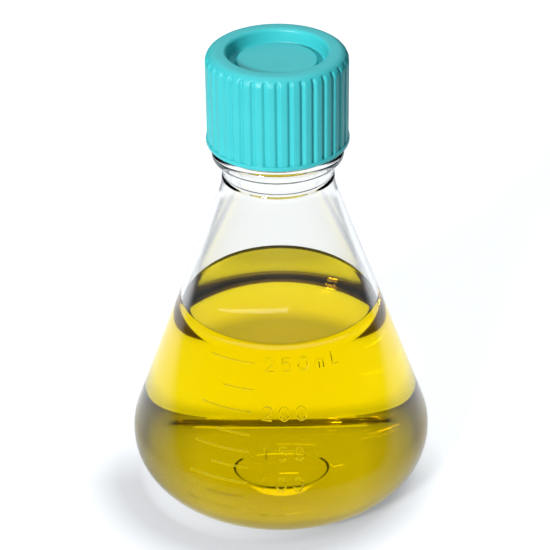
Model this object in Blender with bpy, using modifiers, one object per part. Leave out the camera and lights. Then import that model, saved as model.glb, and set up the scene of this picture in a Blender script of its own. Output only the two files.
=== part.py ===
"""Screw-cap erlenmeyer flask, 250 mL, with a golden liquid in it.

Frame: metres, +Z up, the flask's axis on Z, the surface it stands on at z = 0.
The graduations face -Y. Four pieces: the moulded flask, the screw cap, the
sealing liner inside the cap, and the liquid.
"""
from math import cos, pi, radians, sin, sqrt, tan

import bmesh
import bpy

MM = 0.001

# Driving dimensions of the flask
BODY_RADIUS = 46.0 * MM
CORNER_RADIUS = 16.2 * MM
CONE_ANGLE = radians(19.8)
NECK_RADIUS = 16.6 * MM
SHOULDER_FILLET = 17.8 * MM
MOUTH_HEIGHT = 139.7 * MM
WALL = 1.5 * MM
FLOOR = 2.2 * MM
PUNT_RADIUS = 20.0 * MM
PUNT_HEIGHT = 1.6 * MM
PAD_RADIUS = 10.6 * MM
PAD_STEP = 0.4 * MM

# Neck finish: thread, bore and transfer bead
FINISH_RADIUS = 17.5 * MM
BORE_RADIUS = 15.8 * MM
NECK_BORE_RADIUS = 15.2 * MM
BEAD_RADIUS = 19.4 * MM
BEAD_BOTTOM = 109.8 * MM
BEAD_TOP = 113.3 * MM
THREAD_PITCH = 25.4 * MM / 6.0
THREAD_TURNS = 1.75
THREAD_TOP = 136.4 * MM
THREAD_DEPTH = 1.25 * MM
THREAD_CREST_WIDTH = 1.1 * MM
THREAD_ROOT_WIDTH = 2.3 * MM

# Graduations, in millilitres, with the height of each mark's line
MAJOR_MARKS = {250: 57.5 * MM, 200: 43.7 * MM, 150: 32.4 * MM, 100: 23.5 * MM, 50: 15.0 * MM}
MINOR_MARKS = {225: 50.0 * MM, 175: 37.4 * MM, 125: 27.9 * MM, 75: 19.2 * MM}
MARK_END = radians(-13.2)
MAJOR_START = radians(-38.0)
MINOR_START = radians(-29.0)
MARK_RADIUS = 0.35 * MM

# Screw cap
CAP_TOP = 143.0 * MM
CAP_BOTTOM = 114.85 * MM
CAP_RADIUS = 20.5 * MM
FLANGE_RADIUS = 20.8 * MM
FLANGE_HEIGHT = 1.3 * MM
CAP_FILLET = 3.0 * MM
CAP_INNER_RADIUS = 19.1 * MM
CAP_CEILING = 141.4 * MM
RECESS_RADIUS = 14.46 * MM
RECESS_FLOOR = 138.5 * MM
DISC_RADIUS = 11.6 * MM
DISC_TOP = 140.2 * MM
CAP_WEB = 1.2 * MM
PLUG_RADIUS = 15.4 * MM
GROOVES = 36
GROOVE_RADIUS = 0.75 * MM
GROOVE_DEPTH = 0.55 * MM
GROOVE_TOP = 140.6 * MM

# Sealing liner and liquid
LINER_INNER_RADIUS = 15.75 * MM
LINER_OUTER_RADIUS = 18.6 * MM
LINER_THICKNESS = 1.1 * MM
LIQUID_LEVEL = 62.5 * MM
GAP = 0.3 * MM

# Steps of a full turn, and of a quarter turn in a profile's arcs
BODY_STEPS = 48
CAP_STEPS = 36
THREAD_STEPS = 24
PUNT_STEPS = 6
CORNER_STEPS = 7


def collection(name):
    """A new collection linked to the scene."""
    made = bpy.data.collections.new(name)
    bpy.context.scene.collection.children.link(made)
    return made


def material(name, colour, roughness, transmission=0.0, ior=1.5):
    """A Principled material of one colour."""
    made = bpy.data.materials.new(name)
    made.use_nodes = True
    shader = made.node_tree.nodes["Principled BSDF"]
    shader.inputs["Base Color"].default_value = (*colour, 1.0)
    shader.inputs["Roughness"].default_value = roughness
    shader.inputs["Metallic"].default_value = 0.0
    shader.inputs["Transmission Weight"].default_value = transmission
    shader.inputs["IOR"].default_value = ior
    made.diffuse_color = (*colour, 1.0)
    return made


def arc(centre, radius, start, end, count):
    """Points of an arc in the profile plane, as (radius, height) pairs."""
    turn = (end - start) / count
    return [
        (centre[0] + radius * cos(start + turn * i), centre[1] + radius * sin(start + turn * i))
        for i in range(count + 1)
    ]


def turned(name, profile, steps, target):
    """A solid of revolution about Z, from a profile that runs down its outer side."""
    mesh = bpy.data.meshes.new(name)
    points = [(radius, 0.0, height) for radius, height in profile]
    edges = [(i, i + 1) for i in range(len(points) - 1)]
    if profile[0][0] > 0.0:
        edges.append((len(points) - 1, 0))
    mesh.from_pydata(points, edges, [])
    obj = bpy.data.objects.new(name, mesh)
    target.objects.link(obj)
    screw = obj.modifiers.new("turn", "SCREW")
    screw.axis = "Z"
    screw.steps = steps
    screw.render_steps = steps
    screw.use_merge_vertices = True
    screw.merge_threshold = 0.00001
    screw.use_smooth_shade = True
    return obj


def boolean(obj, tool, operation):
    """Join or cut an object with a hidden one."""
    step = obj.modifiers.new(tool.name, "BOOLEAN")
    step.operation = operation
    step.solver = "EXACT"
    step.object = tool
    tool.hide_render = True
    tool.display_type = "WIRE"


def mesh_from_curve(curve, name, target):
    """The closed mesh of a bevelled curve, with its caps welded on."""
    depsgraph = bpy.context.evaluated_depsgraph_get()
    mesh = bpy.data.meshes.new_from_object(curve.evaluated_get(depsgraph))
    welded = bmesh.new()
    welded.from_mesh(mesh)
    bmesh.ops.remove_doubles(welded, verts=welded.verts, dist=0.00001)
    bmesh.ops.recalc_face_normals(welded, faces=welded.faces)
    welded.to_mesh(mesh)
    welded.free()
    place = curve.matrix_world.copy()
    bpy.data.objects.remove(curve)
    obj = bpy.data.objects.new(name, mesh)
    obj.matrix_world = place
    target.objects.link(obj)
    return obj


def poly_curve(name, points, target, closed=False, dimensions="3D"):
    """A curve object of one straight-sided spline."""
    data = bpy.data.curves.new(name, "CURVE")
    data.dimensions = dimensions
    spline = data.splines.new("POLY")
    spline.points.add(len(points) - 1)
    for spot, place in zip(spline.points, points):
        spot.co = (*place, 1.0)
    spline.use_cyclic_u = closed
    obj = bpy.data.objects.new(name, data)
    target.objects.link(obj)
    return obj


def thread(name, root_radius, direction, top, turns, target):
    """A trapezoid thread: direction 1 stands out of a neck, -1 stands into a cap.

    A right-handed helix: its height falls as its angle turns clockwise from above.
    The section's +X points at the axis. The ends taper into the wall that carries them.
    """
    buried = GAP * direction
    crest = -THREAD_DEPTH * direction
    section_points = [
        (buried, -THREAD_ROOT_WIDTH / 2, 0.0),
        (buried, THREAD_ROOT_WIDTH / 2, 0.0),
        (crest, THREAD_CREST_WIDTH / 2, 0.0),
        (crest, -THREAD_CREST_WIDTH / 2, 0.0),
    ]
    section = poly_curve(name + "_section", section_points, target, closed=True, dimensions="2D")
    count = int(turns * THREAD_STEPS)
    places = []
    for i in range(count + 1):
        angle = -2 * pi * i / THREAD_STEPS
        height = top - THREAD_PITCH * i / THREAD_STEPS
        places.append((root_radius * cos(angle), root_radius * sin(angle), height))
    helix = poly_curve(name + "_helix", places, target)
    helix.data.twist_mode = "Z_UP"
    helix.data.bevel_mode = "OBJECT"
    helix.data.bevel_object = section
    helix.data.use_fill_caps = True
    taper = THREAD_STEPS // 6
    for i, spot in enumerate(helix.data.splines[0].points):
        spot.radius = max(0.15, min(1.0, i / taper, (count - i) / taper))
    solid = mesh_from_curve(helix, name, target)
    bpy.data.objects.remove(section)
    return solid


def punt_height(radius, floor):
    """Height of the pushed-up base over a level, smooth at its middle and at its edge."""
    return floor + PUNT_HEIGHT * 0.5 * (1.0 + cos(pi * radius / PUNT_RADIUS))


def punt(floor):
    """The pushed-up base's profile, from its middle out to its edge."""
    radii = [PUNT_RADIUS * i / PUNT_STEPS for i in range(PUNT_STEPS + 1)]
    return [(radius, punt_height(radius, floor)) for radius in radii]


def corner(floor, inset):
    """The round corner between a floor and the cone, both inset from the outside."""
    reach = CORNER_RADIUS - inset + (CORNER_RADIUS - floor) * sin(CONE_ANGLE)
    radius = reach / (1.0 + sin(CONE_ANGLE))
    centre = (BODY_RADIUS - CORNER_RADIUS, floor + radius)
    return arc(centre, radius, -pi / 2, 0.0, CORNER_STEPS) + arc(centre, radius, 0.0, CONE_ANGLE, 2)[1:]


def cone_radius(height, inset=0.0):
    """Radius of the cone at a height, inset from the outside."""
    foot_radius = BODY_RADIUS - CORNER_RADIUS + CORNER_RADIUS * cos(CONE_ANGLE)
    foot_height = CORNER_RADIUS + CORNER_RADIUS * sin(CONE_ANGLE)
    return foot_radius - (height - foot_height) * tan(CONE_ANGLE) - inset / cos(CONE_ANGLE)


def outer_radius(height):
    """Outer radius of the body at a height, on the cone or on the round corner under it."""
    if height > CORNER_RADIUS * (1.0 + sin(CONE_ANGLE)):
        return cone_radius(height)
    return BODY_RADIUS - CORNER_RADIUS + sqrt(CORNER_RADIUS**2 - (CORNER_RADIUS - height) ** 2)


def shoulder(neck_radius, fillet, inset):
    """The hollow fillet between the cone and a neck, from the cone up to the neck."""
    centre_radius = neck_radius + fillet
    rise = cone_radius(0.0, inset) - centre_radius + fillet / cos(CONE_ANGLE)
    centre = (centre_radius, rise / tan(CONE_ANGLE))
    return arc(centre, fillet, pi + CONE_ANGLE, pi, 3)


def bead():
    """The transfer bead under the cap, from its top down to the neck."""
    edge = 0.7 * MM
    fillet = 0.6 * MM
    return [
        (FINISH_RADIUS, BEAD_TOP + fillet),
        (FINISH_RADIUS + fillet, BEAD_TOP),
        (BEAD_RADIUS - edge, BEAD_TOP),
        (BEAD_RADIUS, BEAD_TOP - edge),
        (BEAD_RADIUS, BEAD_BOTTOM + edge),
        (BEAD_RADIUS - edge, BEAD_BOTTOM),
        (FINISH_RADIUS, BEAD_BOTTOM - fillet / 2),
        (NECK_RADIUS, BEAD_BOTTOM - 2.0 * MM),
    ]


def flask_profile():
    """Up the inside, over the rim, down the outside, and in under the base."""
    lip = 0.4 * MM
    inside = punt(FLOOR) + corner(FLOOR, WALL)
    inside += shoulder(NECK_BORE_RADIUS, SHOULDER_FILLET + WALL, WALL)
    inside += [
        (NECK_BORE_RADIUS, BEAD_BOTTOM - 2.0 * MM),
        (BORE_RADIUS, BEAD_BOTTOM),
        (BORE_RADIUS, MOUTH_HEIGHT - lip),
        (BORE_RADIUS + lip, MOUTH_HEIGHT),
    ]
    outside = [(FINISH_RADIUS - lip, MOUTH_HEIGHT), (FINISH_RADIUS, MOUTH_HEIGHT - lip)]
    outside += bead()
    outside += shoulder(NECK_RADIUS, SHOULDER_FILLET, 0.0)[::-1]
    outside += corner(0.0, 0.0)[::-1]
    outside += [place for place in punt(0.0)[::-1] if place[0] > PAD_RADIUS]
    pad_height = punt_height(PAD_RADIUS, 0.0)
    outside += [
        (PAD_RADIUS, pad_height),
        (PAD_RADIUS - PAD_STEP, pad_height - PAD_STEP),
        (0.0, pad_height - PAD_STEP),
    ]
    return inside + outside


def graduation(name, height, start, target):
    """A raised line round the front of the cone, half buried in the wall."""
    count = 6
    radius = outer_radius(height) - MARK_RADIUS * 0.3
    places = []
    for i in range(count + 1):
        angle = start + (MARK_END - start) * i / count
        places.append((radius * sin(angle), -radius * cos(angle), height))
    line = poly_curve(name, places, target)
    line.data.bevel_depth = MARK_RADIUS
    line.data.bevel_resolution = 1
    line.data.use_fill_caps = True
    return mesh_from_curve(line, name, target)


def make_flask(parts, tools):
    """The one-piece flask: shell, thread, bead, pushed-up base and raised graduations."""
    flask = turned("flask_body", flask_profile(), BODY_STEPS, parts)
    neck_thread = thread("neck_thread", FINISH_RADIUS, 1, THREAD_TOP, THREAD_TURNS, tools)
    boolean(flask, neck_thread, "UNION")
    for volume, height in MAJOR_MARKS.items():
        boolean(flask, graduation(f"mark_{volume}", height, MAJOR_START, tools), "UNION")
    for volume, height in MINOR_MARKS.items():
        boolean(flask, graduation(f"mark_{volume}", height, MINOR_START, tools), "UNION")
    flask.data.materials.append(material("clear_plastic", (0.93, 0.96, 0.97), 0.05, 1.0, 1.57))
    return flask


def cap_profile():
    """Out over the top and its recess, down the skirt, and back up the inside."""
    round_edge = 0.5 * MM
    fillet_centre = (CAP_RADIUS - CAP_FILLET, CAP_TOP - CAP_FILLET)
    lip = 0.25 * MM
    top = [
        (0.0, DISC_TOP),
        (DISC_RADIUS - round_edge, DISC_TOP),
        (DISC_RADIUS, DISC_TOP - round_edge),
        (DISC_RADIUS + round_edge, RECESS_FLOOR),
        (RECESS_RADIUS - round_edge, RECESS_FLOOR),
        (RECESS_RADIUS, RECESS_FLOOR + round_edge),
        (RECESS_RADIUS, CAP_TOP - round_edge),
        (RECESS_RADIUS + round_edge, CAP_TOP),
    ]
    side = arc(fillet_centre, CAP_FILLET, pi / 2, 0.0, 5)
    side += [
        (CAP_RADIUS, CAP_BOTTOM + FLANGE_HEIGHT + lip),
        (FLANGE_RADIUS, CAP_BOTTOM + FLANGE_HEIGHT),
        (FLANGE_RADIUS, CAP_BOTTOM + lip),
        (FLANGE_RADIUS - lip, CAP_BOTTOM),
        (CAP_INNER_RADIUS + lip, CAP_BOTTOM),
        (CAP_INNER_RADIUS, CAP_BOTTOM + lip),
    ]
    plug_bottom = RECESS_FLOOR - CAP_WEB
    inside = [
        (CAP_INNER_RADIUS, CAP_CEILING),
        (PLUG_RADIUS, CAP_CEILING),
        (PLUG_RADIUS, plug_bottom + round_edge),
        (PLUG_RADIUS - round_edge, plug_bottom),
        (DISC_RADIUS, plug_bottom),
        (DISC_RADIUS - round_edge, DISC_TOP - CAP_WEB),
        (0.0, DISC_TOP - CAP_WEB),
    ]
    return top + side + inside


def grip_grooves(target):
    """Thirty-six upright rods that cut the grip grooves round the skirt."""
    foot = CAP_BOTTOM + FLANGE_HEIGHT + 0.3 * MM
    height = GROOVE_TOP - foot
    reach = CAP_RADIUS + GROOVE_RADIUS - GROOVE_DEPTH
    shape = bmesh.new()
    for i in range(GROOVES):
        angle = 2 * pi * i / GROOVES
        rod = bmesh.ops.create_cone(
            shape, cap_ends=True, segments=8, radius1=GROOVE_RADIUS, radius2=GROOVE_RADIUS, depth=height
        )
        bmesh.ops.translate(
            shape, verts=rod["verts"], vec=(reach * cos(angle), reach * sin(angle), foot + height / 2)
        )
    mesh = bpy.data.meshes.new("grip_grooves")
    shape.to_mesh(mesh)
    shape.free()
    obj = bpy.data.objects.new("grip_grooves", mesh)
    target.objects.link(obj)
    return obj


def make_cap(parts, tools):
    """The screw cap: grooved skirt, recessed top with a raised disc, plug and thread."""
    cap = turned("screw_cap", cap_profile(), CAP_STEPS, parts)
    boolean(cap, grip_grooves(tools), "DIFFERENCE")
    top = THREAD_TOP + THREAD_PITCH / 2
    cap_thread = thread("cap_thread", CAP_INNER_RADIUS, -1, top, THREAD_TURNS + 1.0, tools)
    boolean(cap, cap_thread, "UNION")
    cap.data.materials.append(material("turquoise_plastic", (0.08, 0.52, 0.55), 0.42))
    return cap


def make_liner(parts):
    """The soft ring that the cap presses on the rim of the mouth."""
    bottom = MOUTH_HEIGHT + GAP
    top = bottom + LINER_THICKNESS
    profile = [
        (LINER_OUTER_RADIUS, top),
        (LINER_OUTER_RADIUS, bottom),
        (LINER_INNER_RADIUS, bottom),
        (LINER_INNER_RADIUS, top),
    ]
    liner = turned("sealing_liner", profile, BODY_STEPS, parts)
    liner.data.materials.append(material("white_silicone", (0.85, 0.85, 0.83), 0.6))
    return liner


def make_liquid(parts):
    """The liquid's body, clear of the wall by the gap and flat on top."""
    inset = WALL + GAP
    bottom = punt(FLOOR + GAP) + corner(FLOOR + GAP, inset)
    rim = (cone_radius(LIQUID_LEVEL, inset), LIQUID_LEVEL)
    liquid = turned("liquid_fill", (bottom + [rim, (0.0, LIQUID_LEVEL)])[::-1], BODY_STEPS, parts)
    liquid.data.materials.append(material("golden_liquid", (0.90, 0.68, 0.02), 0.0, 1.0, 1.34))
    return liquid


def main():
    for old in list(bpy.data.objects):
        bpy.data.objects.remove(old)
    parts = collection("erlenmeyer_flask")
    tools = collection("cutters")
    make_flask(parts, tools)
    make_cap(parts, tools)
    make_liner(parts)
    make_liquid(parts)


main()
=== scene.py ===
"""The looks of a screw-cap erlenmeyer flask with a golden liquid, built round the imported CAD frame.

Metres, +Z up. The flask's axis is Z, it stands on z = 0, and its graduations face -Y.
Angles round the axis are measured from -Y, positive towards +X, as the viewer reads the scale.
"""
from math import ceil, cos, hypot, pi, radians, sin, sqrt, tan

import bmesh
import bpy
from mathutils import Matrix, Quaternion, Vector
from mathutils.bvhtree import BVHTree
from mathutils.interpolate import poly_3d_calc


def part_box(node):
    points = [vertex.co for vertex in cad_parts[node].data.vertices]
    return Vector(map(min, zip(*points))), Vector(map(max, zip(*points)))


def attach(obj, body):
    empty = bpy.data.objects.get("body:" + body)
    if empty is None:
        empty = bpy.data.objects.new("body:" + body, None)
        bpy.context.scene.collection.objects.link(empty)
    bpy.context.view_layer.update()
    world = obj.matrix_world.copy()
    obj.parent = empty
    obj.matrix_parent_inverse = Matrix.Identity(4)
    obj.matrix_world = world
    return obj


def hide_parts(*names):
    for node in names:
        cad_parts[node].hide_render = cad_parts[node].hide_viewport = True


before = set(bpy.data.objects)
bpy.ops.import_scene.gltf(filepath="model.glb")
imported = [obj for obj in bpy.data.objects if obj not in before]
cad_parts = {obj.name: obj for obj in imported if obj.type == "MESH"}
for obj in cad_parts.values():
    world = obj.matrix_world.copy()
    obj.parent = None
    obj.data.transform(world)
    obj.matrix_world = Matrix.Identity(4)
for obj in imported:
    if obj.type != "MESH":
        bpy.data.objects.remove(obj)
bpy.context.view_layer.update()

MM = 0.001
FLASK_LOW, FLASK_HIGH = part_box("flask_body")
CAP_LOW, CAP_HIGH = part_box("screw_cap")
LINER_LOW, LINER_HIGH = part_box("sealing_liner")
LIQUID_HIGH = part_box("liquid_fill")[1]

# The flask, as in the CAD part. Heights are over the table
BODY_RADIUS = FLASK_HIGH.x
MOUTH_HEIGHT = FLASK_HIGH.z
CORNER_RADIUS = 16.2 * MM
CONE_ANGLE = radians(19.8)
NECK_RADIUS = 16.6 * MM
SHOULDER_FILLET = 17.8 * MM
WALL = 1.5 * MM
FLOOR = 2.2 * MM
PUNT_RADIUS = 20.0 * MM
PUNT_HEIGHT = 1.6 * MM
PAD_RADIUS = 10.6 * MM
PAD_STEP = 0.4 * MM
FINISH_RADIUS = 17.5 * MM
BORE_RADIUS = 15.8 * MM
NECK_BORE_RADIUS = 15.2 * MM
BEAD_RADIUS = 19.4 * MM
BEAD_BOTTOM = 109.8 * MM
BEAD_TOP = 113.3 * MM
NECK_TOP = BEAD_BOTTOM - 5.0 * MM

# The mould leaves a shallow groove round the neck, which the CAD part hasn't
NECK_RING = 104.7 * MM
NECK_RING_HALF_WIDTH = 1.2 * MM
NECK_RING_DEPTH = 0.4 * MM

# The thread on the neck and the one in the cap
THREAD_PITCH = 25.4 * MM / 6.0
THREAD_TURNS = 1.75
THREAD_TOP = 136.4 * MM
THREAD_DEPTH = 1.25 * MM
THREAD_CREST_WIDTH = 1.1 * MM
THREAD_ROOT_WIDTH = 2.3 * MM
THREAD_TAPER = 1.0 / 6.0

# The scale: heights of the lines in millimetres, and what is written beside the long ones. Angles
# are where lines and text start and end, and strokes sink a share of their radius into the wall
MAJOR_MARKS = ((57.5, "250mL"), (43.7, "200"), (32.4, "150"), (23.5, "100"), (15.0, "50"))
MINOR_MARKS = (50.0, 37.4, 27.9, 19.2)
MARK_END = radians(-13.2)
MAJOR_START = radians(-38.0)
MINOR_START = radians(-29.0)
TEXT_START = radians(-8.6)
STROKE = 0.34 * MM
STROKE_SINK = 0.3
LETTER_HEIGHT = 4.0 * MM
LETTER_WIDTH = 3.1 * MM
LETTER_PITCH = 5.0 * MM

# The cap, as in the CAD part but for its grooves, which run further up
CAP_TOP = CAP_HIGH.z
CAP_BOTTOM = CAP_LOW.z
FLANGE_RADIUS = CAP_HIGH.x
CAP_RADIUS = 20.5 * MM
FLANGE_HEIGHT = 1.3 * MM
CAP_FILLET = 3.0 * MM
CAP_INNER_RADIUS = 19.1 * MM
CAP_CEILING = 141.4 * MM
RECESS_RADIUS = 14.46 * MM
RECESS_FLOOR = 138.5 * MM
DISC_RADIUS = 11.6 * MM
DISC_TOP = 140.2 * MM
CAP_WEB = 1.2 * MM
PLUG_RADIUS = 15.4 * MM
GROOVES = 36
GROOVE_HALF_WIDTH = 0.95 * MM
GROOVE_DEPTH = 0.75 * MM
GROOVE_TOP = 142.3 * MM

LINER_INNER_RADIUS = 15.75 * MM

# The liquid wets the wall: its skin lies a little way into the plastic, so no air shows between
WETTING = 0.2 * MM
LIQUID_LEVEL = LIQUID_HIGH.z
MENISCUS_WIDTH = 1.6 * MM
MENISCUS_HEIGHT = 0.4 * MM
MENISCUS_STEPS = 12

# How finely the turned pieces are divided, round the axis and along their profiles
BODY_COLUMNS = 192
CAP_COLUMNS = GROOVES * 12
LINER_COLUMNS = 128
WALL_STEP = 4.0 * MM
NECK_THREAD_STEP = 0.3 * MM
NECK_RING_STEP = 0.15 * MM
CAP_THREAD_STEP = 0.4 * MM
GROOVE_END_STEP = 0.25 * MM

# How near counts as touching, and how nearly parallel counts as the same way
ON_AXIS = 1e-7
WELD = 0.001 * MM
ON_WALL = 0.004 * MM
SAME_WAY = 0.9995

# Refractive indices, and the colour that the liquid's depth gives
PLASTIC_IOR = 1.57
CAP_IOR = 1.49
LIQUID_IOR = 1.345
LIQUID_COLOUR = (0.993, 0.980, 0.0, 1.0)
LIQUID_DENSITY = 330.0

# How much of its full reflection each surface keeps. Where the liquid wets the wall, the two
# refract nearly alike, so little is left
DRY_MIRROR = 1.0
WETTED_MIRROR = 0.1
LIQUID_SIDE_MIRROR = 0.1
LIQUID_TOP_MIRROR = 0.35

# The table glows, less under the flask as painted shade, more behind it as painted light, and half as
# much in its painted contact shadow
GLOW = 0.90
PAINTED_SHADE_UNDER_FLASK = 0.62
PAINTED_LIGHT_BEHIND_FLASK = 1.25
GLOW_IN_SHADOW = 0.5
GLOW_COLOUR = (0.93, 0.965, 1.0, 1.0)

# The room: how bright it is above and along the horizon, and the table's size and the gap over it
SKY = 0.74
HORIZON = 0.05
SKY_COLOUR = (0.93, 0.97, 1.0, 1.0)
TABLE_SIZE = 8.0
TABLE_GAP = 0.05 * MM

# The lights, in watts
OVERHEAD = 1.8
KEY = 23.0
GLINT = 1.3
STREAK = 0.006

# The light goes through several walls and the liquid, and back
BOUNCES = 24

# The camera
LENS_MM = 139.6
SENSOR_MM = 36.0
CAMERA_DISTANCE = 639.9 * MM
CAMERA_ELEVATION = radians(30.5)
CAMERA_LEAN = radians(-0.71)
CAMERA_CENTRE = Vector((0.0, 0.0, 71.4 * MM))
CAMERA_AIM = Vector((-1.3 * MM, 0.0, 68.94 * MM))


# Profiles ---------------------------------------------------------------------------------------

def arc(centre, radius, start, end, count):
    """Points of an arc in the profile plane."""
    turn = (end - start) / count
    return [
        (centre[0] + radius * cos(start + turn * i), centre[1] + radius * sin(start + turn * i))
        for i in range(count + 1)
    ]


def rounded(corners, steps=5):
    """A profile from (radius, height, fillet) corners, each rounded by its fillet."""
    made = []
    for i, (x, z, fillet) in enumerate(corners):
        if fillet == 0.0 or i in (0, len(corners) - 1):
            made.append((x, z))
            continue
        here = Vector((x, z))
        before = (Vector(corners[i - 1][:2]) - here).normalized()
        after = (Vector(corners[i + 1][:2]) - here).normalized()
        half = before.angle(after) / 2
        centre = here + (before + after).normalized() * fillet / sin(half)
        first = here + before * fillet / tan(half) - centre
        last = here + after * fillet / tan(half) - centre
        for step in range(steps + 1):
            spoke = first.lerp(last, step / steps).normalized() * fillet
            made.append(tuple(centre + spoke))
    return made


def refined(profile, low, high, step):
    """The profile with points no further apart than a step between two heights."""
    made = [profile[0]]
    for (x0, z0), (x1, z1) in zip(profile, profile[1:]):
        count = max(1, ceil(hypot(x1 - x0, z1 - z0) / step))
        for i in range(1, count):
            height = z0 + (z1 - z0) * i / count
            if low < height < high:
                made.append((x0 + (x1 - x0) * i / count, height))
        made.append((x1, z1))
    return made


def punt(floor, count=24):
    """The pushed-up base, from its middle out to its edge."""
    made = []
    for i in range(count + 1):
        share = i / count
        made.append((PUNT_RADIUS * share, floor + PUNT_HEIGHT * 0.5 * (1.0 + cos(pi * share))))
    return made


def corner(floor, inset, count=28):
    """The round corner between a floor and the cone, both inset from the outside."""
    reach = CORNER_RADIUS - inset + (CORNER_RADIUS - floor) * sin(CONE_ANGLE)
    radius = reach / (1.0 + sin(CONE_ANGLE))
    centre = (BODY_RADIUS - CORNER_RADIUS, floor + radius)
    upper = arc(centre, radius, 0.0, CONE_ANGLE, count // 4)
    return arc(centre, radius, -pi / 2, 0.0, count) + upper[1:]


def cone_radius(height, inset=0.0):
    """Radius of the cone at a height, inset from the outside."""
    foot_radius = BODY_RADIUS - CORNER_RADIUS + CORNER_RADIUS * cos(CONE_ANGLE)
    foot_height = CORNER_RADIUS + CORNER_RADIUS * sin(CONE_ANGLE)
    return foot_radius - (height - foot_height) * tan(CONE_ANGLE) - inset / cos(CONE_ANGLE)


def outer_radius(height):
    """Outer radius of the body at a height, on the cone or on the round corner under it."""
    if height > CORNER_RADIUS * (1.0 + sin(CONE_ANGLE)):
        return cone_radius(height)
    return BODY_RADIUS - CORNER_RADIUS + sqrt(CORNER_RADIUS**2 - (CORNER_RADIUS - height) ** 2)


def shoulder(neck_radius, fillet, inset, count=10):
    """The hollow fillet between the cone and a neck, from the cone up to the neck."""
    centre_radius = neck_radius + fillet
    rise = cone_radius(0.0, inset) - centre_radius + fillet / cos(CONE_ANGLE)
    centre = (centre_radius, rise / tan(CONE_ANGLE))
    return arc(centre, fillet, pi + CONE_ANGLE, pi, count)


def thread_rise(angle, height, top, turns):
    """How far a thread stands out of its wall at a place, from 0 to 1. It starts at +X."""
    start = (0.25 - angle / (2 * pi)) % 1.0
    rise = 0.0
    for turn in range(ceil(turns)):
        along = start + turn
        if along > turns:
            continue
        taper = min(1.0, along / THREAD_TAPER, (turns - along) / THREAD_TAPER)
        away = abs(height - (top - THREAD_PITCH * along))
        flank = (THREAD_ROOT_WIDTH / 2 - away) / ((THREAD_ROOT_WIDTH - THREAD_CREST_WIDTH) / 2)
        rise = max(rise, min(1.0, max(0.0, flank)) * taper)
    return rise * rise * (3.0 - 2.0 * rise)


# Mesh helpers -----------------------------------------------------------------------------------

def turned(name, profile, columns, shape=None):
    """A closed turned mesh. Its profile either starts and ends on the axis, or is a loop beside it.
    shape(radius, height, angle, row), where given, returns each point's own radius."""
    solid = bmesh.new()
    rings = []
    for row, (radius, height) in enumerate(profile):
        if radius < ON_AXIS:
            rings.append([solid.verts.new((0.0, 0.0, height))])
            continue
        ring = []
        for column in range(columns):
            angle = 2 * pi * column / columns
            reach = shape(radius, height, angle, row) if shape else radius
            ring.append(solid.verts.new((reach * sin(angle), -reach * cos(angle), height)))
        rings.append(ring)
    pairs = list(zip(rings, rings[1:]))
    if profile[0][0] > ON_AXIS:
        pairs.append((rings[-1], rings[0]))
    for low, high in pairs:
        for column in range(columns):
            after = (column + 1) % columns
            corners = [
                low[column % len(low)],
                high[column % len(high)],
                high[after % len(high)],
                low[after % len(low)],
            ]
            solid.faces.new(list(dict.fromkeys(corners)))
    bmesh.ops.recalc_face_normals(solid, faces=solid.faces)
    mesh = bpy.data.meshes.new(name)
    solid.to_mesh(mesh)
    solid.free()
    obj = bpy.data.objects.new(name, mesh)
    bpy.context.scene.collection.objects.link(obj)
    mesh.shade_smooth()
    return obj


def evaluated_mesh(obj):
    """The mesh of an object with its modifiers applied."""
    depsgraph = bpy.context.evaluated_depsgraph_get()
    return bpy.data.meshes.new_from_object(obj.evaluated_get(depsgraph))


def strokes_object(name, strokes):
    """Round strokes as one mesh object: each stroke is a list of points and a closed flag."""
    data = bpy.data.curves.new(name, "CURVE")
    data.dimensions = "3D"
    data.bevel_depth = STROKE
    data.bevel_resolution = 2
    data.use_fill_caps = True
    for points, closed in strokes:
        spline = data.splines.new("POLY")
        spline.points.add(len(points) - 1)
        for spot, place in zip(spline.points, points):
            spot.co = (*place, 1.0)
        spline.use_cyclic_u = closed
    curve = bpy.data.objects.new(name + "_curve", data)
    bpy.context.scene.collection.objects.link(curve)
    mesh = evaluated_mesh(curve)
    bpy.data.objects.remove(curve)
    welded = bmesh.new()
    welded.from_mesh(mesh)
    bmesh.ops.remove_doubles(welded, verts=welded.verts, dist=WELD)
    bmesh.ops.recalc_face_normals(welded, faces=welded.faces)
    welded.to_mesh(mesh)
    welded.free()
    obj = bpy.data.objects.new(name, mesh)
    bpy.context.scene.collection.objects.link(obj)
    return obj


def keep_wall_normals(mesh, clean):
    """Gives the faces that still lie on the clean wall that wall's own smooth normals, and all
    others their own flat ones."""
    corners = [vertex.co for vertex in clean.vertices]
    tree = BVHTree.FromPolygons(corners, [face.vertices for face in clean.polygons])
    mesh.shade_smooth()
    normals = [Vector()] * len(mesh.loops)
    for face in mesh.polygons:
        _, normal, _, distance = tree.find_nearest(face.center)
        on_wall = distance < ON_WALL and abs(face.normal.dot(normal)) > SAME_WAY
        for loop in face.loop_indices:
            if not on_wall:
                normals[loop] = face.normal.copy()
                continue
            spot, _, index, _ = tree.find_nearest(mesh.vertices[mesh.loops[loop].vertex_index].co)
            ring = clean.polygons[index].vertices
            weights = poly_3d_calc([corners[i] for i in ring], spot)
            mixed = Vector()
            for i, weight in zip(ring, weights):
                mixed += clean.vertices[i].normal * weight
            normals[loop] = mixed.normalized()
    mesh.normals_split_custom_set(normals)


# The scale's lettering --------------------------------------------------------------------------

def bow(centre, width, height, start, end, count=10):
    """An elliptical stroke in a letter's box, angles in degrees from its right."""
    return [
        (
            centre[0] + width * cos(radians(start + (end - start) * i / count)),
            centre[1] + height * sin(radians(start + (end - start) * i / count)),
        )
        for i in range(count + 1)
    ]


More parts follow.
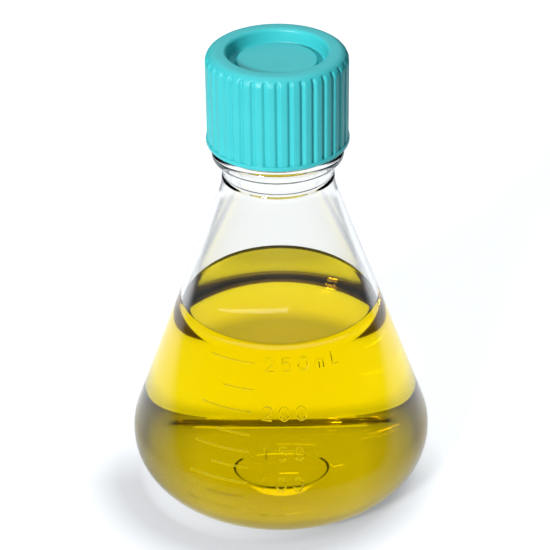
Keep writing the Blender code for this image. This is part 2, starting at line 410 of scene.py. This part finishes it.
def glyph(letter):
    """The strokes of a letter in a box one wide and one high, as (points, closed) pairs."""
    if letter == "0":
        return [(bow((0.5, 0.5), 0.44, 0.5, 0, 360, 20)[:-1], True)]
    if letter == "1":
        return [([(0.3, 0.8), (0.55, 1.0), (0.55, 0.0)], False)]
    if letter == "2":
        return [(bow((0.5, 0.7), 0.42, 0.3, 170, -40, 10) + [(0.05, 0.0), (0.95, 0.0)], False)]
    if letter == "5":
        bowl = bow((0.48, 0.33), 0.42, 0.33, 120, -140, 12)
        return [([(0.88, 1.0), (0.2, 1.0), (0.14, 0.55)] + bowl, False)]
    if letter == "m":
        left = bow((0.27, 0.42), 0.2, 0.2, 180, 0, 6) + [(0.47, 0.0)]
        right = bow((0.67, 0.42), 0.2, 0.2, 180, 0, 6) + [(0.87, 0.0)]
        return [([(0.07, 0.62), (0.07, 0.0)], False), (left, False), (right, False)]
    if letter == "L":
        return [([(0.12, 1.0), (0.12, 0.0), (0.8, 0.0)], False)]
    raise ValueError(letter)


def on_wall(angle, height):
    """A point where a stroke sinks partly into the wall, never past the body's widest."""
    radius = min(outer_radius(height) - STROKE * STROKE_SINK, BODY_RADIUS - STROKE)
    return (radius * sin(angle), -radius * cos(angle), height)


def scale_strokes():
    """The lines and the numbers of the scale, laid on the front of the body."""
    strokes = []
    lines = [(height * MM, MAJOR_START) for height, _ in MAJOR_MARKS]
    lines += [(height * MM, MINOR_START) for height in MINOR_MARKS]
    for height, start in lines:
        count = ceil((MARK_END - start) / radians(1.5))
        angles = [start + (MARK_END - start) * i / count for i in range(count + 1)]
        strokes.append(([on_wall(angle, height) for angle in angles], False))
    for middle, words in MAJOR_MARKS:
        foot = middle * MM - LETTER_HEIGHT / 2 * cos(CONE_ANGLE)
        reach = outer_radius(middle * MM)
        for place, letter in enumerate(words):
            for points, closed in glyph(letter):
                laid = []
                for across, up in points:
                    angle = TEXT_START + (place * LETTER_PITCH + across * LETTER_WIDTH) / reach
                    laid.append(on_wall(angle, foot + up * LETTER_HEIGHT * cos(CONE_ANGLE)))
                strokes.append((laid, closed))
    return strokes


# Materials --------------------------------------------------------------------------------------

def new_material(name):
    """A node material and its Principled shader."""
    made = bpy.data.materials.new(name)
    made.use_nodes = True
    return made, made.node_tree.nodes["Principled BSDF"]


def add_noise(made, scale, detail, stretch=(1.0, 1.0, 1.0)):
    """A noise texture in object space, in cycles to the metre."""
    nodes, links = made.node_tree.nodes, made.node_tree.links
    place = nodes.new("ShaderNodeTexCoord")
    mapping = nodes.new("ShaderNodeMapping")
    mapping.inputs["Scale"].default_value = stretch
    noise = nodes.new("ShaderNodeTexNoise")
    noise.inputs["Scale"].default_value = scale
    noise.inputs["Detail"].default_value = detail
    links.new(place.outputs["Object"], mapping.inputs["Vector"])
    links.new(mapping.outputs["Vector"], noise.inputs["Vector"])
    return noise.outputs["Fac"]


def ranged(made, source, low, high, start=0.3, end=0.7):
    """A value of low where the source is start or less, and high where it is end or more."""
    spread = made.node_tree.nodes.new("ShaderNodeMapRange")
    spread.inputs["From Min"].default_value = start
    spread.inputs["From Max"].default_value = end
    spread.inputs["To Min"].default_value = low
    spread.inputs["To Max"].default_value = high
    made.node_tree.links.new(source, spread.inputs["Value"])
    return spread.outputs["Result"]


def product(made, first, second):
    """Two values multiplied."""
    times = made.node_tree.nodes.new("ShaderNodeMath")
    times.operation = "MULTIPLY"
    made.node_tree.links.new(first, times.inputs[0])
    made.node_tree.links.new(second, times.inputs[1])
    return times.outputs["Value"]


def add_bump(made, shader, heights):
    """Bumps from (source, depth in metres) pairs, one on another."""
    below = None
    for source, depth in heights:
        bump = made.node_tree.nodes.new("ShaderNodeBump")
        bump.inputs["Strength"].default_value = 1.0
        bump.inputs["Distance"].default_value = depth
        made.node_tree.links.new(source, bump.inputs["Height"])
        if below:
            made.node_tree.links.new(below, bump.inputs["Normal"])
        below = bump.outputs["Normal"]
    made.node_tree.links.new(below, shader.inputs["Normal"])


def blend_colours(made, shader, source, first, second):
    """A base colour that goes from the first to the second as a value goes from 0 to 1."""
    tint = made.node_tree.nodes.new("ShaderNodeMix")
    tint.data_type = "RGBA"
    tint.inputs["A"].default_value = first
    tint.inputs["B"].default_value = second
    made.node_tree.links.new(source, tint.inputs["Factor"])
    made.node_tree.links.new(tint.outputs["Result"], shader.inputs["Base Color"])


def clear_plastic(name, mirror):
    """Crystal-clear moulded copolyester: faintly wavy, with a barely uneven gloss."""
    made, shader = new_material(name)
    shader.inputs["Specular Tint"].default_value = (mirror, mirror, mirror, 1.0)
    shader.inputs["Base Color"].default_value = (0.985, 0.992, 0.99, 1.0)
    shader.inputs["Transmission Weight"].default_value = 1.0
    shader.inputs["IOR"].default_value = PLASTIC_IOR
    waves = add_noise(made, 60.0, 2.0, stretch=(1.0, 1.0, 0.45))
    gloss = add_noise(made, 900.0, 3.0)
    made.node_tree.links.new(ranged(made, gloss, 0.0, 0.005), shader.inputs["Roughness"])
    add_bump(made, shader, [(waves, 0.02 * MM)])
    return made


def turquoise_plastic():
    """Satin moulded polypropylene: a fine grain, a soft sheen, slightly uneven colour."""
    made, shader = new_material("turquoise_plastic")
    cloud = add_noise(made, 120.0, 4.0)
    blend_colours(made, shader, cloud, (0.040, 0.48, 0.51, 1.0), (0.050, 0.53, 0.56, 1.0))
    grain = add_noise(made, 5200.0, 3.0)
    made.node_tree.links.new(ranged(made, grain, 0.36, 0.46), shader.inputs["Roughness"])
    add_bump(made, shader, [(grain, 0.008 * MM), (cloud, 0.02 * MM)])
    shader.inputs["IOR"].default_value = CAP_IOR
    shader.inputs["Specular IOR Level"].default_value = 0.42
    shader.inputs["Subsurface Weight"].default_value = 0.15
    shader.inputs["Subsurface Radius"].default_value = (0.4, 1.0, 1.0)
    shader.inputs["Subsurface Scale"].default_value = 1.2 * MM
    return made


def white_silicone():
    """Matt white silicone sheet with a fine pressed grain."""
    made, shader = new_material("white_silicone")
    grain = add_noise(made, 3500.0, 4.0)
    blend_colours(made, shader, grain, (0.80, 0.80, 0.78, 1.0), (0.88, 0.88, 0.86, 1.0))
    made.node_tree.links.new(ranged(made, grain, 0.5, 0.65), shader.inputs["Roughness"])
    add_bump(made, shader, [(grain, 0.02 * MM)])
    return made


def golden_liquid():
    """A clear yellow liquid: its colour comes from the depth of liquid that the light crosses."""
    made, shader = new_material("golden_liquid")
    nodes, links = made.node_tree.nodes, made.node_tree.links
    shader.inputs["Base Color"].default_value = (1.0, 1.0, 1.0, 1.0)
    shader.inputs["Transmission Weight"].default_value = 1.0
    shader.inputs["Roughness"].default_value = 0.0
    shader.inputs["IOR"].default_value = LIQUID_IOR
    facing = nodes.new("ShaderNodeNewGeometry")
    height = nodes.new("ShaderNodeSeparateXYZ")
    links.new(facing.outputs["True Normal"], height.inputs["Vector"])
    mirror = ranged(made, height.outputs["Z"], LIQUID_SIDE_MIRROR, LIQUID_TOP_MIRROR, 0.6, 0.9)
    links.new(mirror, shader.inputs["Specular Tint"])
    ripple = add_noise(made, 45.0, 1.0)
    add_bump(made, shader, [(ripple, 0.01 * MM)])
    depth = nodes.new("ShaderNodeVolumeAbsorption")
    depth.inputs["Color"].default_value = LIQUID_COLOUR
    depth.inputs["Density"].default_value = LIQUID_DENSITY
    links.new(depth.outputs["Volume"], nodes["Material Output"].inputs["Volume"])
    return made


def distance_from(made, place, stretch=(1.0, 1.0, 1.0)):
    """The distance of the shaded point from a place, in metres. The point is stretched first."""
    nodes, links = made.node_tree.nodes, made.node_tree.links
    where = nodes.new("ShaderNodeTexCoord")
    scaled = nodes.new("ShaderNodeVectorMath")
    scaled.operation = "MULTIPLY"
    scaled.inputs[1].default_value = stretch
    links.new(where.outputs["Object"], scaled.inputs[0])
    away = nodes.new("ShaderNodeVectorMath")
    away.operation = "DISTANCE"
    away.inputs[1].default_value = place
    links.new(scaled.outputs["Vector"], away.inputs[0])
    return away.outputs["Value"]


def floor_material():
    """A white light table with painted shade under and close before the flask, painted light behind
    it, and a painted pool of light that fades out all round.
    """
    made, shader = new_material("white_table_painted_light")
    # Painted pool of light: the table's colour and glow fade to dark away from the flask
    wide = distance_from(made, (0.0, 120.0 * MM, 0.0), (1.4, 1.0, 1.0))
    painted_light_pool = ranged(made, wide, 1.0, 0.0, 310.0 * MM, 440.0 * MM)
    middle = distance_from(made, (0.0, 0.0, 0.0))
    # Painted shade: the table's glow drops under the flask
    under = ranged(made, middle, PAINTED_SHADE_UNDER_FLASK, 1.0, 36.0 * MM, 43.0 * MM)
    rear = distance_from(made, (0.0, 60.0 * MM, 0.0))
    # Painted light: the table's glow rises behind the flask
    behind = ranged(made, rear, PAINTED_LIGHT_BEHIND_FLASK, 1.0, 30.0 * MM, 50.0 * MM)

    # The contact shadow is the front half of a soft ring, a little to the left of the flask.
    # Forward is measured from a plane one metre behind it
    foot = distance_from(made, (-7.0 * MM, -3.0 * MM, 0.0))
    starts = ranged(made, foot, 0.0, 1.0, 30.0 * MM, 38.0 * MM)
    ends = ranged(made, foot, 1.0, 0.0, 44.0 * MM, 60.0 * MM)
    forward = distance_from(made, (0.0, 1.0, 0.0), (0.0, 1.0, 0.0))
    in_front = ranged(made, forward, 0.0, 1.0, 1.0 - 20.0 * MM, 1.0 + 10.0 * MM)
    shadow = product(made, product(made, starts, ends), in_front)
    shade = ranged(made, shadow, GLOW, GLOW * GLOW_IN_SHADOW, 0.0, 1.0)

    blend_colours(made, shader, painted_light_pool, (0.06, 0.06, 0.065, 1.0), (0.30, 0.30, 0.31, 1.0))
    # The glow carries the painted pool of light, the painted shade under the flask, the painted light
    # behind it and the painted contact shadow
    glow_and_painted_light = product(made, painted_light_pool, product(made, product(made, under, behind), shade))
    made.node_tree.links.new(glow_and_painted_light, shader.inputs["Emission Strength"])
    shader.inputs["Emission Color"].default_value = GLOW_COLOUR
    shader.inputs["Roughness"].default_value = 0.85
    shader.inputs["Specular IOR Level"].default_value = 0.2
    return made


# The pieces -------------------------------------------------------------------------------------

def flask_profile():
    """Up the inside, over the rim, down the outside, and in under the base."""
    inside = punt(FLOOR) + corner(FLOOR, WALL)[1:]
    inside += shoulder(NECK_BORE_RADIUS, SHOULDER_FILLET + WALL, WALL)
    neck = rounded(
        [
            (NECK_BORE_RADIUS, NECK_TOP, 0.0),
            (NECK_BORE_RADIUS, BEAD_BOTTOM - 2.0 * MM, 1.5 * MM),
            (BORE_RADIUS, BEAD_BOTTOM, 1.5 * MM),
            (BORE_RADIUS, MOUTH_HEIGHT, 0.5 * MM),
            (FINISH_RADIUS, MOUTH_HEIGHT, 0.5 * MM),
            (FINISH_RADIUS, BEAD_TOP, 0.6 * MM),
            (BEAD_RADIUS, BEAD_TOP, 1.5 * MM),
            (BEAD_RADIUS, BEAD_BOTTOM, 1.6 * MM),
            (FINISH_RADIUS - 0.2 * MM, BEAD_BOTTOM - 0.4 * MM, 0.8 * MM),
            (NECK_RADIUS, BEAD_BOTTOM - 2.2 * MM, 1.0 * MM),
            (NECK_RADIUS, NECK_TOP, 0.0),
        ]
    )
    outside = shoulder(NECK_RADIUS, SHOULDER_FILLET, 0.0)[::-1] + corner(0.0, 0.0)[::-1]
    under = [place for place in punt(0.0)[::-1][1:] if place[0] > PAD_RADIUS + PAD_STEP]
    pad = under[-1][1] + 0.1 * MM
    pad_corners = [
        (PAD_RADIUS + PAD_STEP, pad, 0.0),
        (PAD_RADIUS, pad, 0.2 * MM),
        (PAD_RADIUS - PAD_STEP, pad - PAD_STEP, 0.2 * MM),
        (0.0, pad - PAD_STEP, 0.0),
    ]
    whole = inside + neck + outside + under + rounded(pad_corners, 3)
    whole = refined(whole, BEAD_TOP + 0.5 * MM, MOUTH_HEIGHT - 0.5 * MM, NECK_THREAD_STEP)
    ring_bottom, ring_top = NECK_RING - NECK_RING_HALF_WIDTH, NECK_RING + NECK_RING_HALF_WIDTH
    whole = refined(whole, ring_bottom, ring_top, NECK_RING_STEP)
    return refined(whole, 0.0, BEAD_BOTTOM, WALL_STEP)


def neck_shape(radius, height, angle, row):
    """The neck's outer wall, with its thread and the mould's ring groove under the bead."""
    away = abs(height - NECK_RING) / NECK_RING_HALF_WIDTH
    if radius > NECK_RADIUS - 0.1 * MM and away < 1.0:
        return radius - NECK_RING_DEPTH * 0.5 * (1.0 + cos(pi * away))
    if radius < FINISH_RADIUS - 0.01 * MM or height < BEAD_TOP + 1.0 * MM:
        return radius
    return radius + THREAD_DEPTH * thread_rise(angle, height, THREAD_TOP, THREAD_TURNS)


def make_flask():
    """The moulded flask, with the raised scale joined on."""
    shell = turned("clean_shell", flask_profile(), BODY_COLUMNS, neck_shape)
    marks = strokes_object("scale_marks", scale_strokes())
    union = shell.modifiers.new("scale", "BOOLEAN")
    union.operation = "UNION"
    union.solver = "EXACT"
    union.use_self = True
    union.object = marks
    mesh = evaluated_mesh(shell)
    keep_wall_normals(mesh, shell.data)
    mesh.name = "clear_flask"
    flask = bpy.data.objects.new("clear_flask", mesh)
    bpy.context.scene.collection.objects.link(flask)
    bpy.data.objects.remove(shell)
    bpy.data.objects.remove(marks)
    mesh.materials.append(clear_plastic("clear_plastic", DRY_MIRROR))
    mesh.materials.append(clear_plastic("wetted_plastic", WETTED_MIRROR))
    for face in mesh.polygons:
        if face.center.z < LIQUID_LEVEL:
            face.material_index = 1
    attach(flask, "flask")
    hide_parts("flask_body")
    return flask


def make_liquid():
    """The liquid, with a meniscus that climbs the wall."""
    inset = WALL - WETTING
    bottom = punt(FLOOR - WETTING) + corner(FLOOR - WETTING, inset)[1:]
    rim_height = LIQUID_LEVEL + MENISCUS_HEIGHT
    rim = cone_radius(rim_height, inset)
    top = []
    for i in range(MENISCUS_STEPS + 1):
        inward = i / MENISCUS_STEPS
        height = LIQUID_LEVEL + MENISCUS_HEIGHT * (1.0 - inward) ** 3
        top.append((rim - WETTING - MENISCUS_WIDTH * inward, height))
    top += [(rim / 2, LIQUID_LEVEL), (0.0, LIQUID_LEVEL)]
    wall = refined(bottom + [(rim, rim_height)], 0.0, rim_height, WALL_STEP)
    liquid = turned("golden_liquid", wall + top, BODY_COLUMNS)
    liquid.data.materials.append(golden_liquid())
    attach(liquid, "flask")
    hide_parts("liquid_fill")
    return liquid


def cap_profile():
    """Out over the top and its recess, down the skirt, and back up the inside."""
    plug_bottom = RECESS_FLOOR - CAP_WEB
    corners = [
        (0.0, DISC_TOP, 0.0),
        (DISC_RADIUS, DISC_TOP, 0.6 * MM),
        (DISC_RADIUS + 0.3 * MM, RECESS_FLOOR, 0.6 * MM),
        (RECESS_RADIUS - 0.3 * MM, RECESS_FLOOR, 0.8 * MM),
        (RECESS_RADIUS, CAP_TOP, 1.0 * MM),
        (CAP_RADIUS, CAP_TOP, CAP_FILLET),
        (CAP_RADIUS, CAP_BOTTOM + FLANGE_HEIGHT, 0.12 * MM),
        (FLANGE_RADIUS, CAP_BOTTOM + FLANGE_HEIGHT, 0.12 * MM),
        (FLANGE_RADIUS, CAP_BOTTOM, 0.35 * MM),
        (CAP_INNER_RADIUS, CAP_BOTTOM, 0.3 * MM),
        (CAP_INNER_RADIUS, CAP_CEILING, 0.3 * MM),
        (PLUG_RADIUS, CAP_CEILING, 0.2 * MM),
        (PLUG_RADIUS, plug_bottom, 0.5 * MM),
        (DISC_RADIUS, plug_bottom, 0.4 * MM),
        (DISC_RADIUS - 0.5 * MM, DISC_TOP - CAP_WEB, 0.4 * MM),
        (0.0, DISC_TOP - CAP_WEB, 0.0),
    ]
    profile = rounded(corners, 6)
    profile = refined(profile, GROOVE_TOP - 3.0 * MM, CAP_TOP - 0.5 * MM, GROOVE_END_STEP)
    return refined(profile, THREAD_TOP - 13.0 * MM, GROOVE_TOP - 2.0 * MM, CAP_THREAD_STEP)


def groove_depth(angle, height):
    """How deep the grip groove is at a place on the skirt, from 0 to 1, with a round end."""
    pitch = 2 * pi / GROOVES
    across = abs((angle / pitch + 0.5) % 1.0 - 0.5) * pitch * CAP_RADIUS
    past_end = max(0.0, height - (GROOVE_TOP - GROOVE_HALF_WIDTH))
    away = hypot(across, past_end) / GROOVE_HALF_WIDTH
    return 0.5 * (1.0 + cos(pi * away)) if away < 1.0 else 0.0


def make_cap():
    """The moulded screw cap."""
    profile = cap_profile()
    lowest = min(height for _, height in profile)
    inside = max(row for row, (_, height) in enumerate(profile) if height < lowest + WELD)

    def cap_shape(radius, height, angle, row):
        """The skirt's grooves outside and its thread inside."""
        if row < inside:
            on_skirt = radius > RECESS_RADIUS + 2.0 * MM and height > CAP_BOTTOM + FLANGE_HEIGHT
            return radius - GROOVE_DEPTH * groove_depth(angle, height) if on_skirt else radius
        if radius < CAP_INNER_RADIUS - 0.01 * MM:
            return radius
        top = THREAD_TOP + THREAD_PITCH / 2
        return radius - THREAD_DEPTH * thread_rise(angle, height, top, THREAD_TURNS + 1.0)

    cap = turned("ribbed_cap", profile, CAP_COLUMNS, cap_shape)
    cap.data.materials.append(turquoise_plastic())
    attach(cap, "cap")
    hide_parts("screw_cap")
    return cap


def make_liner():
    """The sealing ring under the cap's ceiling."""
    inner, outer = LINER_INNER_RADIUS, LINER_HIGH.x
    low, high = LINER_LOW.z, LINER_HIGH.z
    middle = (inner + outer) / 2
    corners = [
        (middle, high, 0.0),
        (outer, high, 0.25 * MM),
        (outer, low, 0.25 * MM),
        (inner, low, 0.25 * MM),
        (inner, high, 0.25 * MM),
        (middle - 0.01 * MM, high, 0.0),
    ]
    liner = turned("sealing_ring", rounded(corners, 4), LINER_COLUMNS)
    liner.data.materials.append(white_silicone())
    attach(liner, "liner")
    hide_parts("sealing_liner")
    return liner


# The studio -------------------------------------------------------------------------------------

def make_floor():
    """A pale floor, whose material holds painted light and shade."""
    bpy.ops.mesh.primitive_plane_add(size=TABLE_SIZE, location=(0.0, 0.0, FLASK_LOW.z - TABLE_GAP))
    floor = bpy.context.active_object
    floor.name = "table_top"
    floor.data.materials.append(floor_material())


def area_light(name, place, aim, size, power, colour=(1.0, 1.0, 1.0)):
    """A soft rectangular light that faces a point."""
    data = bpy.data.lights.new(name, "AREA")
    data.shape = "RECTANGLE"
    data.size, data.size_y = size
    data.energy = power
    data.color = colour
    light = bpy.data.objects.new(name, data)
    bpy.context.scene.collection.objects.link(light)
    light.location = place
    light.rotation_mode = "QUATERNION"
    light.rotation_quaternion = (Vector(aim) - Vector(place)).to_track_quat("-Z", "Y")
    return light


def make_sky():
    """A pale room: brightest high behind the flask, and dark along the horizon and at the sides.
    Each ramp runs over one component of the view's direction."""
    world = bpy.data.worlds.new("studio")
    bpy.context.scene.world = world
    world.use_nodes = True
    nodes, links = world.node_tree.nodes, world.node_tree.links
    look = nodes.new("ShaderNodeTexCoord")
    split = nodes.new("ShaderNodeSeparateXYZ")
    links.new(look.outputs["Generated"], split.inputs["Vector"])
    height = ranged(world, split.outputs["Z"], HORIZON, SKY, 0.12, 0.36)
    across = nodes.new("ShaderNodeMath")
    across.operation = "ABSOLUTE"
    links.new(split.outputs["X"], across.inputs[0])
    side = ranged(world, across.outputs["Value"], 1.0, 0.2, 0.25, 0.7)
    depth = ranged(world, split.outputs["Y"], 0.5, 1.0, -0.3, 0.2)
    strength = product(world, product(world, height, side), depth)
    nodes["Background"].inputs["Color"].default_value = SKY_COLOUR
    links.new(strength, nodes["Background"].inputs["Strength"])


def make_lights():
    """A wide light overhead, a key at the front left, and a thin streak behind. Seen through clear
    things the key would only speckle them, so there the weak glint beside it stands in for it."""
    warm = (1.0, 0.99, 0.98)
    area_light("overhead", (0.0, 0.30, 1.1), (0.0, 0.0, 0.07), (0.9, 0.9), OVERHEAD, warm)
    key = area_light("key", (-0.62, -1.12, 0.72), (0.0, 0.0, 0.1), (0.24, 0.24), KEY)
    key.visible_transmission = False
    area_light("glint", (-0.62, -1.12, 0.74), (0.0, 0.0, 0.1), (0.12, 0.12), GLINT)
    area_light("streak", (-0.052, 1.2, 0.81), (0.0, 0.0, 0.06), (0.13, 0.0045), STREAK)


def make_camera():
    """A long lens from the front, 30.5 degrees up, with a slight lean."""
    data = bpy.data.cameras.new("camera")
    data.sensor_width = SENSOR_MM
    data.lens = LENS_MM
    data.clip_start = 0.01
    camera = bpy.data.objects.new("camera", data)
    bpy.context.scene.collection.objects.link(camera)
    away = Vector((0.0, -cos(CAMERA_ELEVATION), sin(CAMERA_ELEVATION)))
    camera.location = CAMERA_CENTRE + CAMERA_DISTANCE * away
    camera.rotation_mode = "QUATERNION"
    upright = (CAMERA_AIM - camera.location).to_track_quat("-Z", "Y")
    camera.rotation_quaternion = upright @ Quaternion((0, 0, 1), CAMERA_LEAN)
    bpy.context.scene.camera = camera


make_camera()
make_floor()
make_sky()
make_lights()
make_flask()
make_liquid()
make_cap()
make_liner()

scene = bpy.context.scene
scene.view_settings.view_transform = "Standard"
scene.cycles.max_bounces = BOUNCES
scene.cycles.transmission_bounces = BOUNCES
